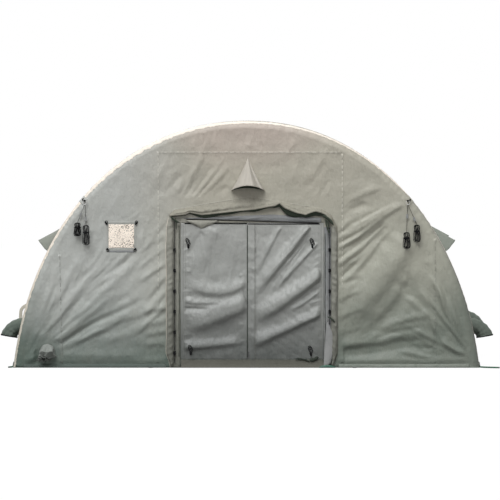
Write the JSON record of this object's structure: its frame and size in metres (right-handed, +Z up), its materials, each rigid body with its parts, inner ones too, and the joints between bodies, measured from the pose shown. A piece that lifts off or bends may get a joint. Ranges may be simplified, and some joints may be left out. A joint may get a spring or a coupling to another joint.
{
  "type": "inflatable tunnel tent",
  "caption": "Walk-in tunnel tent on inflated arch beams, with a canvas cover, a double-leaf door in the end wall, vent hoods, a window panel, duct sleeves and guy lines.",
  "frame": {"origin": "middle of the footprint on the ground, at the bottom centre of the box round the tent", "axes": "+Z up, +X to the right seen from the door, -Y out of the door, tent length along Y"},
  "size_m": [6.0601, 6.8274, 2.96],
  "materials": {
    "canvas": "matt grey-green coated canvas",
    "edge_cloth": "matt beige-green edging cloth",
    "beam_skin": "dark coated beam fabric, slight sheen",
    "floor_skin": "dark green coated groundsheet",
    "black_cord": "black braided cord and webbing",
    "grey_runner": "matt grey moulded plastic",
    "green_rope": "dark green laid rope",
    "window_panel": "pale translucent reinforced sheet",
    "valve_plastic": "black moulded plastic"
  },
  "bodies": {
    "shelter": {"roof_cover": "canvas", "side_wall_left": "canvas", "side_wall_right": "canvas", "front_wall": "canvas", "rear_wall": "canvas", "front_vent_hood": "canvas", "rear_vent_hood": "canvas", "side_hood_left_1": "canvas", "side_hood_left_2": "canvas", "side_hood_right_1": "canvas", "side_hood_right_2": "canvas", "duct_sleeve_front": "canvas", "duct_sleeve_left_1": "canvas", "duct_sleeve_right_1": "canvas", "duct_sleeve_right_2": "canvas", "head_strip": "canvas", "window_frame": "canvas", "rain_flap": "edge_cloth", "jamb_sleeve_left": "edge_cloth", "jamb_sleeve_right": "edge_cloth", "door_sill": "edge_cloth", "arch_beam_1": "beam_skin", "arch_beam_2": "beam_skin", "arch_beam_3": "beam_skin", "arch_beam_4": "beam_skin", "purlin_left_1": "beam_skin", "purlin_left_2": "beam_skin", "purlin_left_3": "beam_skin", "purlin_right_1": "beam_skin", "purlin_right_2": "beam_skin", "purlin_right_3": "beam_skin", "groundsheet": "floor_skin", "jamb_lacing_left": "black_cord", "jamb_lacing_right": "black_cord", "guy_line_1": "black_cord", "guy_line_2": "black_cord", "guy_line_3": "black_cord", "guy_line_4": "black_cord", "guy_hank_1": "black_cord", "guy_hank_2": "black_cord", "guy_hank_3": "black_cord", "guy_hank_4": "black_cord", "peg_loop_left": "black_cord", "peg_loop_right": "black_cord", "guy_patch_left": "black_cord", "guy_patch_right": "black_cord", "corner_rope_left": "green_rope", "corner_rope_right": "green_rope", "inflation_valve": "valve_plastic", "relief_valve": "valve_plastic"},
    "door_left": {"door_leaf_left": "canvas"},
    "door_right": {"door_leaf_right": "canvas"},
    "zip_slider": {"zip_slider": "valve_plastic"},
    "window": {"window_panel": "window_panel"},
    "runner_1": {"guy_runner_1": "grey_runner"},
    "runner_2": {"guy_runner_2": "grey_runner"},
    "runner_3": {"guy_runner_3": "grey_runner"},
    "runner_4": {"guy_runner_4": "grey_runner"},
    "valve_cap": {"inflation_valve_cap": "valve_plastic"},
    "relief_knob": {"relief_valve_knob": "valve_plastic"}
  },
  "joints": [
    {"name": "door_left_hinge", "type": "hinge", "parent": "shelter", "child": "door_left", "pos_m": [-0.7897, -3.2, 0.9], "axis": [0, 0, -1], "range_deg": [0, 90]},
    {"name": "door_right_hinge", "type": "hinge", "parent": "shelter", "child": "door_right", "pos_m": [0.9297, -3.2, 0.9], "axis": [0, 0, 1], "range_deg": [0, 90]},
    {"name": "zip_slide", "type": "slide", "parent": "door_right", "child": "zip_slider", "axis": [0, 0, 1], "range_m": [0, 1.5]},
    {"name": "window_hinge", "type": "hinge", "parent": "shelter", "child": "window", "pos_m": [-1.5, -3.2043, 1.725], "axis": [-1, 0, 0], "range_deg": [0, 150]},
    {"name": "runner_1_slide", "type": "slide", "parent": "shelter", "child": "runner_1", "axis": [-0.3677, 0, -0.93], "range_m": [-0.06, 0.06]},
    {"name": "runner_2_slide", "type": "slide", "parent": "shelter", "child": "runner_2", "axis": [0.0489, 0, -0.9988], "range_m": [-0.1, 0.04]},
    {"name": "runner_3_slide", "type": "slide", "parent": "shelter", "child": "runner_3", "axis": [-0.0363, 0, -0.9993], "range_m": [-0.08, 0.13]},
    {"name": "runner_4_slide", "type": "slide", "parent": "shelter", "child": "runner_4", "axis": [0.4008, 0, -0.9162], "range_m": [-0.11, 0.04]},
    {"name": "valve_cap_turn", "type": "hinge", "parent": "shelter", "child": "valve_cap", "pos_m": [2.4157, -3.0757, 0.58643], "axis": [-0.9719, 0, -0.2354], "range_deg": [0, 90]},
    {"name": "relief_knob_pull", "type": "slide", "parent": "shelter", "child": "relief_knob", "axis": [0.9719, 0, -0.2354], "range_m": [0, 0.006], "stiffness_N_per_m": 800, "springref_m": -0.003}
  ]
}
